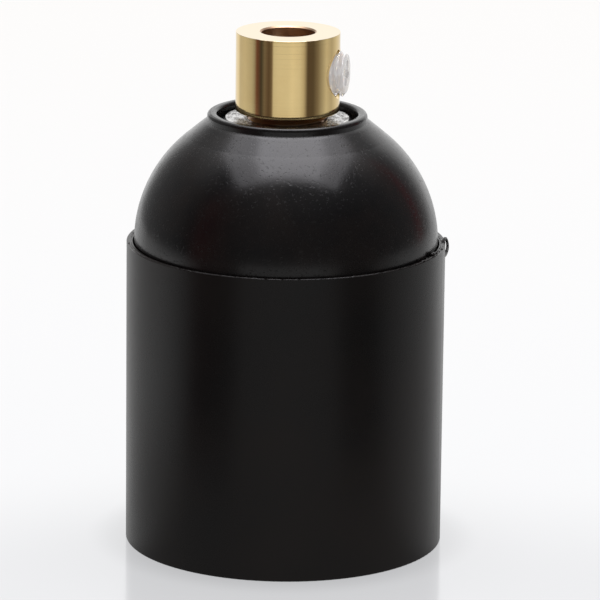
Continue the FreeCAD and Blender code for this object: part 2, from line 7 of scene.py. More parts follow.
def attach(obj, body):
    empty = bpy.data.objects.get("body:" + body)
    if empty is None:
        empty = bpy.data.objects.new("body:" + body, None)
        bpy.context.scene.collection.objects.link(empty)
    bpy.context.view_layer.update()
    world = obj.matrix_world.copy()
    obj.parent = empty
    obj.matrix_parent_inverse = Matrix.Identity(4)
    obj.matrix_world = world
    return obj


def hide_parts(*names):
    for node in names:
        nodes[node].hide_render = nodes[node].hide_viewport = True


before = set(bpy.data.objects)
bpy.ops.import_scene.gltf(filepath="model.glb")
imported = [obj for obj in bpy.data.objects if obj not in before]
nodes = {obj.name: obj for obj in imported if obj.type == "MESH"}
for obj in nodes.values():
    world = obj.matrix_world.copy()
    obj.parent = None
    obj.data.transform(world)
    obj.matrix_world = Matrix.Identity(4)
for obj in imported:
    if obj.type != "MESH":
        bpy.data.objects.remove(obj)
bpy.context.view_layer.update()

MM = 0.001


# ---------------------------------------------------------------- skirt
# The skirt is the lower half of the shell, moulded in one piece with the lamp's round thread
# inside it. It is black thermoset, pressed hot in a steel die, so its skin is glossy and a little
# uneven, with a brown cast where the filler comes to the surface.

def add_node(tree, kind, settings=(), **values):
    """Adds a shader node. An input goes by its name, with _ for a space, or by i and its number.
    A value that is a socket is linked to the input, and any other value is set."""
    made = tree.nodes.new(kind)
    for setting, value in dict(settings).items():
        setattr(made, setting, value)
    for name, value in values.items():
        numbered = name[0] == "i" and name[1:].isdigit()
        socket = made.inputs[int(name[1:]) if numbered else name.replace("_", " ")]
        if isinstance(value, bpy.types.NodeSocket):
            tree.links.new(value, socket)
        else:
            socket.default_value = value
    return made


def work_out(tree, operation, *values):
    """What a Math node makes of these values or sockets."""
    numbered = {f"i{number}": value for number, value in enumerate(values)}
    return add_node(tree, "ShaderNodeMath", {"operation": operation}, **numbered).outputs[0]


def straight_step(tree, value, start, end, low=0.0, high=1.0):
    """Low up to the start and high from the end, with a straight change between."""
    return add_node(tree, "ShaderNodeMapRange", i0=value, i1=start, i2=end, i3=low, i4=high).outputs[0]


def blend_colours(tree, share, first, second):
    """First where the share is 0 and second where it is 1; each is a socket or a plain colour."""
    made = add_node(tree, "ShaderNodeMix", {"data_type": "RGBA"}, Factor=share)
    for socket, colour in (("A", first), ("B", second)):
        if isinstance(colour, bpy.types.NodeSocket):
            tree.links.new(colour, made.inputs[socket])
        else:
            made.inputs[socket].default_value = (*colour, 1)
    return made.outputs["Result"]


def new_group(name, inputs, outputs):
    """An empty shader node group whose inputs are numbers with these first values."""
    group = bpy.data.node_groups.new(name, "ShaderNodeTree")
    for label, value in inputs.items():
        socket = group.interface.new_socket(label, in_out="INPUT", socket_type="NodeSocketFloat")
        socket.default_value = value
    for label in outputs:
        group.interface.new_socket(label, in_out="OUTPUT", socket_type="NodeSocketFloat")
    return group, group.nodes.new("NodeGroupInput").outputs, group.nodes.new("NodeGroupOutput").inputs


def new_material(name, sockets):
    """A material whose plain values stand straight on its Principled shader."""
    material = bpy.data.materials.new(name)
    material.use_nodes = True
    shader = material.node_tree.nodes["Principled BSDF"]
    for socket, value in sockets.items():
        shader.inputs[socket].default_value = value
    return material, material.node_tree, shader


def dress(tree, shader, colour, roughness, relief, strength, depth):
    """Gives the shader its colour, its roughness, and a relief whose depth is in mm."""
    skin = add_node(tree, "ShaderNodeBump", Strength=strength, Distance=depth * MM, Height=relief)
    tree.links.new(colour, shader.inputs["Base Color"])
    tree.links.new(roughness, shader.inputs["Roughness"])
    tree.links.new(skin.outputs["Normal"], shader.inputs["Normal"])


def give(material, *objects):
    """Puts one material on every face of each object."""
    for thing in objects:
        thing.data.materials.clear()
        thing.data.materials.append(material)


SPECK_SHARE = (0.57, 0.68)      # noise below the first is clean, and above the second a full speck
SPECK_SINK = -0.45              # how far a speck sinks into the skin, against its waves


def moulding_marks():
    """Flow shade, cure specks and a slightly wavy skin, as on pressed thermoset."""
    group, given, out = new_group(
        "moulding_marks",
        {"Flow Scale": 60.0, "Speck Scale": 900.0, "Speck Amount": 0.5, "Wave Scale": 250.0},
        ("Flow", "Specks", "Height"))
    place = add_node(group, "ShaderNodeTexCoord").outputs["Object"]
    flow = add_node(group, "ShaderNodeTexNoise",
                    Vector=place, Scale=given["Flow Scale"], Detail=4.0, Roughness=0.55)
    specks = add_node(group, "ShaderNodeTexNoise",
                      Vector=place, Scale=given["Speck Scale"], Detail=3.0, Roughness=0.6)
    kept = straight_step(group, specks.outputs["Fac"], *SPECK_SHARE)
    amount = work_out(group, "MULTIPLY", kept, given["Speck Amount"])
    waves = add_node(group, "ShaderNodeTexNoise",
                     Vector=place, Scale=given["Wave Scale"], Detail=2.0, Roughness=0.5)
    sunk = work_out(group, "MULTIPLY_ADD", amount, SPECK_SINK, waves.outputs["Fac"])
    group.links.new(flow.outputs["Fac"], out["Flow"])
    group.links.new(amount, out["Specks"])
    group.links.new(sunk, out["Height"])
    return group


MOULDING_MARKS = moulding_marks()
FLOW_SPREAD = (0.35, 0.65)      # the part of the flow noise over which the shade changes


def thermoset(name, dark, brown, roughness, specular, marks, bump):
    """Black thermoset: two near-blacks mixed along the flow, with specks a little rougher."""
    material, tree, shader = new_material(name, {"IOR": 1.5, "Specular IOR Level": specular})
    skin = add_node(tree, "ShaderNodeGroup", {"node_tree": MOULDING_MARKS}, **marks).outputs
    colour = blend_colours(tree, straight_step(tree, skin["Flow"], *FLOW_SPREAD), dark, brown)
    cloudy = straight_step(tree, skin["Flow"], *FLOW_SPREAD, roughness - 0.02, roughness + 0.04)
    rough = work_out(tree, "MULTIPLY_ADD", skin["Specks"], 0.14, cloudy)
    dress(tree, shader, colour, rough, skin["Height"], bump, depth=0.02)
    return material


SKIRT_FINISH = thermoset(
    "skirt_thermoset", dark=(0.0060, 0.0054, 0.0052), brown=(0.0095, 0.0070, 0.0060),
    roughness=0.27, specular=0.25, bump=0.5,
    marks={"Flow Scale": 45.0, "Speck Scale": 1400.0, "Speck Amount": 0.25, "Wave Scale": 300.0})
give(SKIRT_FINISH, nodes["skirt"])


# ---------------------------------------------------------------- lip of the skirt
# Where the die closed on the skirt's mouth it left a thin ragged bead of thermoset along the rim.
# It was broken off by hand, so crumbs and one curl of flash still hang on at the right.

CAMERA_TURN = math.radians(12.16)     # how far round the camera stands, from the front


def place_round(degrees, radius, height):
    """The point in metres at an angle to the camera's right of the front, from sizes in mm."""
    angle = CAMERA_TURN + math.radians(degrees)
    return Vector((math.sin(angle) * radius, -math.cos(angle) * radius, height)) * MM


def start_piece():
    """Nothing stays selected from the piece before."""
    bpy.ops.object.select_all(action="DESELECT")


def edit_all():
    """Opens the active piece in edit mode with all of it selected."""
    bpy.ops.object.mode_set(mode="EDIT")
    bpy.ops.mesh.select_all(action="SELECT")


def traced(name, points):
    """An edge chain through the points, grown from one vertex by extruding; it stays in edit mode."""
    start_piece()
    bpy.ops.mesh.primitive_plane_add(size=MM)
    piece = bpy.context.active_object
    piece.name = name
    edit_all()
    bpy.ops.mesh.merge(type="CENTER")
    points = [Vector(point) for point in points]
    bpy.ops.transform.translate(value=points[0])
    for last, point in zip(points, points[1:]):
        bpy.ops.mesh.extrude_region_move(TRANSFORM_OT_translate={"value": point - last})
    bpy.ops.mesh.select_all(action="SELECT")
    return piece


def turned(name, profile, steps=256):
    """A turned piece: its closed profile of (radius, height) in mm is spun all the way round Z."""
    closed = (*profile, profile[0])
    piece = traced(name, [(radius * MM, 0, height * MM) for radius, height in closed])
    bpy.ops.mesh.spin(steps=steps, angle=math.tau, center=(0, 0, 0), axis=(0, 0, 1))
    bpy.ops.mesh.select_all(action="SELECT")
    bpy.ops.mesh.remove_doubles(threshold=0.0005 * MM)
    bpy.ops.mesh.delete_loose()
    bpy.ops.mesh.select_all(action="SELECT")
    bpy.ops.mesh.normals_make_consistent(inside=False)
    bpy.ops.object.mode_set(mode="OBJECT")
    return piece


LIP_BEAD = [
    (19.32, 38.36), (19.44, 38.30), (19.72, 38.32), (19.80, 38.41), (19.70, 38.50), (19.46, 38.51)]
BEAD_RAGGEDNESS = 0.07

lip_bead = turned("lip_bead", LIP_BEAD, 360)
edit_all()
bpy.ops.transform.vertex_random(offset=BEAD_RAGGEDNESS * MM, seed=4)
bpy.ops.object.mode_set(mode="OBJECT")
bpy.ops.object.shade_smooth()

# Each crumb's angle, radius, height and size, and its thickness as a share of that size.
CRUMBS = [
    (60.0, 19.55, 38.50, 0.70, 0.30), (63.5, 19.50, 38.48, 0.60, 0.40),
    (69.5, 19.45, 38.62, 0.95, 0.62), (72.5, 19.50, 38.56, 0.75, 0.50),
    (76.0, 19.60, 38.45, 0.55, 0.55), (80.0, 19.75, 38.40, 0.60, 0.60),
    (84.0, 19.70, 38.35, 0.50, 0.55), (86.5, 19.80, 38.15, 0.45, 0.80),
    (83.5, 19.74, 37.80, 0.50, 0.60), (90.5, 20.20, 37.30, 0.45, 0.70),
    (94.0, 20.36, 37.75, 0.40, 0.80), (-84.0, 19.70, 38.45, 0.45, 0.50),
    (-72.0, 19.60, 38.42, 0.50, 0.40), (-66.0, 19.60, 38.44, 0.55, 0.35)]
CRUMB_WIDTH = 0.6
CRUMB_RAGGEDNESS = 0.07


def crumb(name, degrees, radius, height, size, thickness, seed):
    """A torn crumb of thermoset: a ball pulled out of round."""
    start_piece()
    bpy.ops.mesh.primitive_ico_sphere_add(subdivisions=3, radius=size * MM / 2)
    piece = bpy.context.active_object
    piece.name = name
    edit_all()
    bpy.ops.transform.resize(value=(1.0, CRUMB_WIDTH, thickness))
    bpy.ops.transform.vertex_random(offset=size * CRUMB_RAGGEDNESS * MM, seed=seed)
    bpy.ops.transform.rotate(value=-CAMERA_TURN - math.radians(degrees), orient_axis="Z",
                             center_override=(0, 0, 0))
    bpy.ops.transform.translate(value=place_round(degrees, radius, height))
    bpy.ops.object.mode_set(mode="OBJECT")
    bpy.ops.object.shade_smooth()
    return piece


crumbs = [crumb(f"lip_crumb_{number}", *sizes, 10 + number) for number, sizes in enumerate(CRUMBS)]

# The curl leaves the rim, bends out and down, and comes back to the skirt's side.
FLASH_CURL = [
    (90.0, 19.60, 38.40), (92.0, 19.85, 38.70), (94.5, 20.05, 38.72), (95.5, 20.30, 38.35),
    (95.5, 20.42, 37.90), (94.0, 20.40, 37.50), (91.0, 20.20, 37.20), (86.0, 19.93, 37.05),
    (83.0, 19.80, 37.25)]
CURL_THICKNESS = (0.11, 0.17)

flash_curl = traced("lip_flash_curl", [place_round(*point) for point in FLASH_CURL])
bpy.ops.object.mode_set(mode="OBJECT")
smooth = flash_curl.modifiers.new("smooth", "SUBSURF")
smooth.levels = 2
bpy.ops.object.modifier_apply(modifier=smooth.name)
thick = flash_curl.modifiers.new("thick", "SKIN")
for point in flash_curl.data.skin_vertices[0].data:
    point.radius = [radius * MM for radius in CURL_THICKNESS]
bpy.ops.object.modifier_apply(modifier=thick.name)
bpy.ops.object.shade_smooth()

for piece in (lip_bead, flash_curl, *crumbs):
    give(SKIRT_FINISH, piece)
    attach(piece, "skirt")


# ---------------------------------------------------------------- contact block
# The contact block is glazed porcelain, fired as one piece with the pockets for both terminals.
# It drops into the skirt and the cap holds it down.

GLAZE, GLAZE_SPECK = (0.80, 0.78, 0.73), (0.52, 0.46, 0.38)

porcelain, tree, shader = new_material(
    "glazed_porcelain", {"IOR": 1.5, "Coat Weight": 0.6, "Coat Roughness": 0.06})
glaze = add_node(tree, "ShaderNodeGroup", {"node_tree": MOULDING_MARKS},
                 Flow_Scale=120.0, Speck_Scale=500.0, Speck_Amount=0.6).outputs
dress(tree, shader,
      colour=blend_colours(tree, glaze["Specks"], GLAZE, GLAZE_SPECK),
      roughness=straight_step(tree, glaze["Flow"], 0.3, 0.7, 0.25, 0.45),
      relief=glaze["Height"], strength=0.4, depth=0.02)
give(porcelain, nodes["contact_block"])


# ---------------------------------------------------------------- terminals
# Each terminal is a brass block sawn from bar, drilled for a wire and tapped for its clamp screw.
# It is left as sawn, so it is duller than the polished grip.

def from_axis(tree, place):
    """A place's X, Y and Z, and its distance from the Z axis."""
    axes = add_node(tree, "ShaderNodeSeparateXYZ", Vector=place).outputs
    flat = add_node(tree, "ShaderNodeCombineXYZ", X=axes["X"], Y=axes["Y"])
    reach = add_node(tree, "ShaderNodeVectorMath", {"operation": "LENGTH"}, i0=flat.outputs[0])
    return axes, reach.outputs["Value"]


def turning_lines():
    """Fine rings left by a cutting tool, read from the distance along Z and from the axis."""
    group, given, out = new_group(
        "turning_lines", {"Lines Per Metre": 9000.0, "Line Depth": 1.0}, ("Lines", "Smudges"))
    place = add_node(group, "ShaderNodeTexCoord").outputs["Object"]
    axes, radius = from_axis(group, place)
    run = work_out(group, "ADD", axes["Z"], radius)
    scaled = work_out(group, "MULTIPLY", run, given["Lines Per Metre"])
    lines = add_node(group, "ShaderNodeTexNoise", {"noise_dimensions": "1D"},
                     W=scaled, Scale=1.0, Detail=3.0, Roughness=0.7)
    deep = work_out(group, "MULTIPLY", lines.outputs["Fac"], given["Line Depth"])
    smudges = add_node(group, "ShaderNodeTexNoise",
                       Vector=place, Scale=260.0, Detail=3.0, Roughness=0.55)
    group.links.new(deep, out["Lines"])
    group.links.new(smudges.outputs["Fac"], out["Smudges"])
    return group


TURNING_LINES = turning_lines()


def metal(name, bright, dull, roughness, lines_per_metre, line_depth):
    """Bare or plated metal: tool lines in its skin, and smudges that dull its colour a little."""
    material, tree, shader = new_material(name, {"Metallic": 1.0})
    marks = add_node(tree, "ShaderNodeGroup", {"node_tree": TURNING_LINES},
                     Lines_Per_Metre=lines_per_metre, Line_Depth=line_depth).outputs
    dress(tree, shader,
          colour=blend_colours(tree, straight_step(tree, marks["Smudges"], 0.35, 0.7), bright, dull),
          roughness=straight_step(tree, marks["Smudges"], 0.3, 0.75, roughness * 0.8, roughness * 1.3),
          relief=marks["Lines"], strength=0.6, depth=0.004)
    return material


SAWN_BRASS = metal("sawn_brass", bright=(0.80, 0.60, 0.30), dull=(0.66, 0.46, 0.20),
                   roughness=0.32, lines_per_metre=6000.0, line_depth=1.2)
give(SAWN_BRASS, nodes["centre_terminal"], nodes["side_terminal"])


# ---------------------------------------------------------------- screws and washers in the block
# Steel screws with a bright zinc plate clamp the wires and hold the terminals, each fixing screw
# on its spring washer.

ZINC_PLATE = metal("zinc_plated_steel", bright=(0.72, 0.73, 0.74), dull=(0.55, 0.56, 0.57),
                   roughness=0.24, lines_per_metre=8000.0, line_depth=1.0)
SPRING_STEEL = metal("spring_steel", bright=(0.42, 0.40, 0.38), dull=(0.28, 0.26, 0.25),
                     roughness=0.30, lines_per_metre=7000.0, line_depth=1.0)
give(ZINC_PLATE, nodes["centre_terminal_screw"], nodes["side_terminal_screw"],
     nodes["centre_fixing_screw"], nodes["side_fixing_screw"])
give(SPRING_STEEL, nodes["centre_lock_washer"], nodes["side_lock_washer"])


# ---------------------------------------------------------------- contacts
# The contacts are bent from phosphor bronze strip and screwed to the block. The centre one has a
# riveted brass button, and a leaf of spring steel behind it that keeps its pressure when hot.

BRONZE = metal("phosphor_bronze", bright=(0.78, 0.50, 0.30), dull=(0.60, 0.36, 0.20),
               roughness=0.22, lines_per_metre=5000.0, line_depth=0.8)
give(BRONZE, nodes["centre_contact"], nodes["side_contact"])
give(SAWN_BRASS, nodes["centre_button"])
give(SPRING_STEEL, nodes["backing_spring"])


# ---------------------------------------------------------------- cap
# The cap is the domed upper half of the shell, of the same black thermoset, and screws onto the
# skirt. Its dome is matt and speckled, with fine pits, where the die wasn't polished.

CAP_FINISH = thermoset(
    "cap_thermoset", dark=(0.0050, 0.0046, 0.0048), brown=(0.0080, 0.0060, 0.0054),
    roughness=0.20, specular=0.44, bump=0.6,
    marks={"Flow Scale": 160.0, "Speck Scale": 2600.0, "Speck Amount": 1.0, "Wave Scale": 350.0})
give(CAP_FINISH, nodes["cap"])

# The dome runs up to the collar's foot in a straight slope, in the same moulding.
SHOULDER = [
    (9.90, 53.60), (9.90, 54.10), (10.02, 54.05), (10.50, 53.665), (11.00, 53.262), (11.50, 52.855),
    (12.00, 52.440), (12.35, 52.145), (12.72, 51.825), (12.30, 51.90), (10.40, 53.10)]

cap_shoulder = turned("cap_shoulder", SHOULDER)
bpy.ops.object.shade_smooth_by_angle(angle=math.radians(30))
give(CAP_FINISH, cap_shoulder)
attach(cap_shoulder, "cap")


# ---------------------------------------------------------------- bush and washer
# A steel bush is riveted through the cap over a bevelled washer. Both have a bright nickel plate,
# and a small grub screw locks the grip's neck in the bush.

NICKEL, NICKEL_STAIN = (0.60, 0.59, 0.58), (0.13, 0.12, 0.115)

nickel_plate, tree, shader = new_material("nickel_plate", {"Metallic": 1.0})
place = add_node(tree, "ShaderNodeTexCoord").outputs["Object"]
axes, reach = from_axis(tree, place)
spoke = work_out(tree, "ARCTAN2", axes["X"], axes["Y"])
outward = work_out(tree, "MULTIPLY", reach, 500.0)
polar = add_node(tree, "ShaderNodeCombineXYZ", X=spoke, Y=outward, Z=axes["Z"]).outputs[0]
streaks = add_node(tree, "ShaderNodeTexNoise",
                   Vector=polar, Scale=5.5, Detail=4.0, Roughness=0.65, Distortion=0.6)
blots = add_node(tree, "ShaderNodeTexNoise", Vector=place, Scale=1500.0, Detail=4.0, Roughness=0.7)
stains = work_out(tree, "ADD", streaks.outputs["Fac"], blots.outputs["Fac"])
dress(tree, shader,
      colour=blend_colours(tree, straight_step(tree, stains, 0.93, 1.08), NICKEL, NICKEL_STAIN),
      roughness=straight_step(tree, blots.outputs["Fac"], 0.35, 0.65, 0.10, 0.36),
      relief=stains, strength=0.8, depth=0.02)
give(nickel_plate, nodes["nipple_bush"], nodes["nipple_washer"])
give(ZINC_PLATE, nodes["nipple_lock_screw"])


# ---------------------------------------------------------------- cord grip
# The cord grip is turned from brass bar and polished on the outside. Its bore and its threaded neck keep
# the tool's finish, so they are rougher, and they are painted darker as painted shade, since they lie in
# shadow inside the grip and under it.

GRIP_RADIUS = 6.5
GRIP_FOOT, GRIP_TOP = 55.32, 65.265
FOOT_CHAMFER, TOP_CHAMFER = 0.1, 0.02
SIDE_ROWS = 12                        # rows of faces up the side, so that it shades evenly
NECK_CREST, NECK_ROOT = 5.0, 4.39
NECK_END = 46.68
NECK_SINK = 0.4                       # how far the neck runs into the grip that it is joined to
BORE_RADIUS, BORE_CHAMFER = 3.35, 0.18
CLAMP_HEIGHT, CLAMP_HOLE = 60.295, 2.92
COUNTERSINK = 0.25
PAST = 1.0                            # how far the bore's cutter runs past each end


def change_with(piece, tool, operation="DIFFERENCE"):
    """Cuts, joins or trims a piece with the tool, which is used up."""
    start_piece()
    piece.select_set(True)
    bpy.context.view_layer.objects.active = piece
    change = piece.modifiers.new("change", "BOOLEAN")
    change.operation = operation
    change.solver = "EXACT"
    change.object = tool
    bpy.ops.object.modifier_apply(modifier=change.name)
    bpy.data.objects.remove(tool, do_unlink=True)


PITCH = 1.0
# The profile starts this far below the rod, so that no row of it lies in the plane of a square cut.
LEAD_IN = 1.497


def threaded_rod(name, crest, root, start, end, steps=96):
    """A solid rod with a right-hand thread, cut square at both ends."""
    tooth = [(root, 0.0), (crest, 0.38), (crest, 0.50), (root, 0.88), (root, PITCH)]
    piece = traced(name, [(radius * MM, 0, (start - LEAD_IN + height) * MM) for radius, height in tooth])
    bpy.ops.object.mode_set(mode="OBJECT")
    winding = piece.modifiers.new("winding", "SCREW")
    winding.screw_offset = PITCH * MM
    winding.iterations = math.ceil(end - start + 2)
    winding.steps = winding.render_steps = steps
    winding.use_merge_vertices = True
    winding.merge_threshold = 0.0005 * MM
    bpy.ops.object.modifier_apply(modifier=winding.name)
    edit_all()
    bpy.ops.mesh.remove_doubles(threshold=0.002 * MM)
    for height, side in ((start, -1), (end, 1)):
        bpy.ops.mesh.select_all(action="SELECT")
        bpy.ops.mesh.bisect(plane_co=(0, 0, height * MM), plane_no=(0, 0, side), use_fill=True,
                            clear_outer=True, threshold=0.00005 * MM)
    bpy.ops.mesh.select_all(action="SELECT")
    bpy.ops.mesh.normals_make_consistent(inside=False)
    bpy.ops.object.mode_set(mode="OBJECT")
    return piece


def point_outward():
    """Turns the active piece, made upright, to point along +X at the clamp screw's height."""
    edit_all()
    bpy.ops.transform.rotate(value=math.radians(-90), orient_axis="Y", center_override=(0, 0, 0))
    bpy.ops.transform.translate(value=(0, 0, CLAMP_HEIGHT * MM))
    bpy.ops.object.mode_set(mode="OBJECT")


side_rows = [
    (GRIP_RADIUS, GRIP_FOOT + FOOT_CHAMFER + row * (GRIP_TOP - GRIP_FOOT - 2 * FOOT_CHAMFER) / SIDE_ROWS)
    for row in range(SIDE_ROWS + 1)]
cord_grip = turned("cord_grip_brass", [
    (0, GRIP_FOOT), (GRIP_RADIUS - FOOT_CHAMFER, GRIP_FOOT), *side_rows,
    (GRIP_RADIUS, GRIP_TOP - TOP_CHAMFER), (GRIP_RADIUS - TOP_CHAMFER, GRIP_TOP), (0, GRIP_TOP)])
neck = threaded_rod("neck", NECK_CREST, NECK_ROOT, NECK_END, GRIP_FOOT + NECK_SINK)
change_with(cord_grip, neck, "UNION")
bore = turned("bore", [
    (0, NECK_END - PAST), (BORE_RADIUS + BORE_CHAMFER + PAST, NECK_END - PAST),
    (BORE_RADIUS, NECK_END + BORE_CHAMFER), (BORE_RADIUS, GRIP_TOP - BORE_CHAMFER),
    (BORE_RADIUS + BORE_CHAMFER + PAST, GRIP_TOP + PAST), (0, GRIP_TOP + PAST)], 128)
change_with(cord_grip, bore)
clamp_hole = turned("clamp_hole", [
    (0, 0), (CLAMP_HOLE, 0), (CLAMP_HOLE, GRIP_RADIUS - COUNTERSINK),
    (CLAMP_HOLE + 2 * COUNTERSINK, GRIP_RADIUS + COUNTERSINK), (0, GRIP_RADIUS + COUNTERSINK)], 96)
point_outward()
change_with(cord_grip, clamp_hole)
bpy.ops.object.shade_smooth_by_angle(angle=math.radians(25))

BRIGHT_BRASS, SMUDGED_BRASS = (0.91, 0.69, 0.325), (0.87, 0.64, 0.29)
PAINTED_SHEEN_BRASS, PAINTED_SHADE_BRASS = (0.83, 0.69, 0.47), (0.60, 0.40, 0.26)
POLISHED, AS_TURNED = 0.06, 0.34      # roughness

polished_brass, tree, shader = new_material("polished_brass", {"Metallic": 1.0})
marks = add_node(tree, "ShaderNodeGroup", {"node_tree": TURNING_LINES},
                 Lines_Per_Metre=5200.0, Line_Depth=1.0).outputs
axes, reach = from_axis(tree, add_node(tree, "ShaderNodeTexCoord").outputs["Object"])
# The bore and the neck get a darker colour: painted shade where they lie in shadow. Their greater
# roughness is the tool's finish.
in_bore = straight_step(tree, reach, 3.50 * MM, 3.58 * MM, 1.0, 0.0)
on_neck = straight_step(tree, axes["Z"], 55.25 * MM, 55.34 * MM, 1.0, 0.0)
# The flat top gets a paler colour: a painted sheen where it catches the overhead light.
painted_sheen_top = straight_step(tree, axes["Z"], (GRIP_TOP - 0.03) * MM, (GRIP_TOP - 0.01) * MM)
unpolished_and_shaded = work_out(tree, "MAXIMUM", in_bore, on_neck)
side = blend_colours(tree, straight_step(tree, marks["Smudges"], 0.35, 0.7), BRIGHT_BRASS, SMUDGED_BRASS)
outside = blend_colours(tree, painted_sheen_top, side, PAINTED_SHEEN_BRASS)
dress(tree, shader,
      colour=blend_colours(tree, unpolished_and_shaded, outside, PAINTED_SHADE_BRASS),
      roughness=straight_step(tree, unpolished_and_shaded, 0.0, 1.0, POLISHED, AS_TURNED),
      relief=marks["Lines"], strength=0.6, depth=0.004)
give(polished_brass, cord_grip)
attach(cord_grip, "cord_grip")
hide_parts("cord_grip")


# ---------------------------------------------------------------- clamp screw
# The clamp screw is cast in cloudy clear nylon, so that it grips the cord without cutting it. It has
# an M6 thread all along and a cross recess in its outer end.

SCREW_START, SCREW_END = 3.50, 7.45
SCREW_CREST, SCREW_ROOT = 2.85, 2.28
START_POINT = (2.3, 0.6)              # the inner end's radius, and how long its taper is
END_POINT = (2.42, 0.42)              # the same at the outer end
TRIM_RADIUS = 2.9                     # clear of the thread's crest
SPARE = 0.3                           # rod to be trimmed off past each end
SLOT_CUTTER = (3.3, 0.95, 1.6)        # the length, width and height of what cuts each slot
SLOT_CENTRE = 0.5                     # how far below the end the cutter's middle lies
SLOT_TURN = 20                        # how far the cross stands from upright, in degrees

clamp_screw = threaded_rod(
    "clamp_screw_nylon", SCREW_CREST, SCREW_ROOT, SCREW_START - SPARE, SCREW_END + SPARE, 128)
ends = turned("ends", [
    (0, SCREW_START), (START_POINT[0], SCREW_START), (TRIM_RADIUS, SCREW_START + START_POINT[1]),
    (TRIM_RADIUS, SCREW_END - END_POINT[1]), (END_POINT[0], SCREW_END), (0, SCREW_END)], 128)
change_with(clamp_screw, ends, "INTERSECT")
for turn in (0, 90):
    start_piece()
    bpy.ops.mesh.primitive_cube_add(size=1.0)
    slot_cutter = bpy.context.active_object
    edit_all()
    bpy.ops.transform.resize(value=[side * MM for side in SLOT_CUTTER])
    bpy.ops.mesh.bevel(offset=0.12 * MM, segments=2)
    bpy.ops.mesh.select_all(action="SELECT")
    bpy.ops.transform.rotate(value=math.radians(turn + SLOT_TURN), orient_axis="Z",
                             center_override=(0, 0, 0))
    bpy.ops.transform.translate(value=(0, 0, (SCREW_END - SLOT_CENTRE) * MM))
    bpy.ops.object.mode_set(mode="OBJECT")
    change_with(clamp_screw, slot_cutter)
edit_all()
bpy.ops.mesh.remove_doubles(threshold=0.004 * MM)
bpy.ops.object.mode_set(mode="OBJECT")
point_outward()
bpy.ops.object.shade_smooth_by_angle(angle=math.radians(35))

CLEAR, CLOUDED = (0.98, 0.975, 0.97), (0.80, 0.78, 0.765)

# The faint white emission is painted light: a glow that brightens the screw though it is no lamp.
clear_nylon, tree, shader = new_material("clear_nylon", {
    "Transmission Weight": 0.60, "IOR": 1.5,
    "Emission Color": (1.0, 0.98, 0.97, 1), "Emission Strength": 0.07})
place = add_node(tree, "ShaderNodeTexCoord").outputs["Object"]
cloud = add_node(tree, "ShaderNodeTexNoise",
                 Vector=place, Scale=900.0, Detail=3.0, Roughness=0.6).outputs["Fac"]
dress(tree, shader,
      colour=blend_colours(tree, cloud, CLEAR, CLOUDED),
      roughness=straight_step(tree, cloud, 0.3, 0.7, 0.03, 0.14),
      relief=cloud, strength=0.7, depth=0.05)
give(clear_nylon, clamp_screw)
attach(clamp_screw, "clamp_screw")
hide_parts("clamp_screw")


# ---------------------------------------------------------------- floor
# The floor is one pale sheet with a faint gloss. In shiny pieces it shows as a studio table does:
# pale in front and at the sides, with dark gaps between, and an even patch by the object's foot.

FLOOR_SIZE = 6.0
FRONT_TONE, BACK_TONE, FAR_TONE = (0.515, 0.520, 0.530), (0.606, 0.610, 0.616), (0.668, 0.656, 0.640)
SHEET, SHEET_GLOSS = (0.12, 0.119, 0.117, 1), (0.17, 0.17, 0.17, 1)
FOOT_SHADE = (0.0202, 0.0255)         # metres from the axis over which the shade by the foot ends
FOOT_PATCH = (0.045, 0.095)           # the same for the even patch by the foot
TABLE_EDGE = (0.20, 0.26)             # the same for the table, with the cards beyond it
CARDS_END = (0.36, 0.42)              # the same for the cards, with the room beyond them

# What shiny pieces see: an angle to the right of the front in degrees, and its grey or colour.
TABLE_TOP = [
    (-180, 0.95), (-146, 0.74), (-120, 0.66), (-96, 0.86), (-84, 0.80), (-73, 0.50),
    (-62, (0.06, 0.02, 0.02)), (-50, (0.05, 0.03, 0.03)), (-38, 0.06), (-28, 0.36), (0, 0.42),
    (30, 0.38), (42, 0.05), (60, 0.04), (76, 0.35), (92, 0.50), (120, 0.62), (138, 0.85), (180, 0.85)]
CARDS = [
    (-180, 0.95), (-140, 0.85), (-128, 0.56), (-108, 0.58), (-86, 0.46), (-79, 0.34),
    (-72, (0.15, 0.07, 0.06)), (-60, 0.05), (-52, (0.17, 0.15, 0.14)), (-47, (0.14, 0.11, 0.10)),
    (-42, (0.10, 0.075, 0.065)), (-35, (0.16, 0.13, 0.11)), (-31, 0.62), (-20, 0.68), (0, 0.69),
    (10, 0.76), (26, 0.68), (35, (0.52, 0.50, 0.48)), (44, (0.095, 0.075, 0.065)),
    (58, (0.095, 0.08, 0.07)), (70, (0.20, 0.18, 0.165)), (82, 0.38), (94, 0.58), (112, 0.46),
    (134, 0.70), (180, 0.95)]
BY_THE_FOOT = [
    (-180, 0.85), (-140, 0.70), (-110, 0.55), (-80, 0.50), (-60, 0.30), (-30, 0.32), (0, 0.36),
    (30, 0.33), (60, 0.30), (80, 0.50), (115, 0.62), (140, 0.80), (180, 0.85)]


def turned_from_front(tree, vector):
    """How far round the object a direction lies, and its height. The first goes from 0 to 1, is 0.5
    in front, on the camera's side, and grows to the camera's right."""
    axes = add_node(tree, "ShaderNodeSeparateXYZ", Vector=vector).outputs
    forward = work_out(tree, "MULTIPLY", axes["Y"], -1.0)
    angle = work_out(tree, "SUBTRACT", work_out(tree, "ARCTAN2", axes["X"], forward), CAMERA_TURN)
    wrapped = work_out(tree, "WRAP", angle, math.pi, -math.pi)
    return straight_step(tree, wrapped, -math.pi, math.pi), axes["Z"]


def tones_round(tree, place, stops):
    """A ramp of greys or colours, each at its angle to the right of the front in degrees."""
    made = add_node(tree, "ShaderNodeValToRGB", Fac=place)
    band = made.color_ramp
    for number, (degrees, tone) in enumerate(stops):
        at = (degrees + 180) / 360
        element = band.elements[number] if number < 2 else band.elements.new(at)
        element.position = at
        element.color = (*tone, 1) if isinstance(tone, tuple) else (tone, tone, tone, 1)
    return made.outputs["Color"]


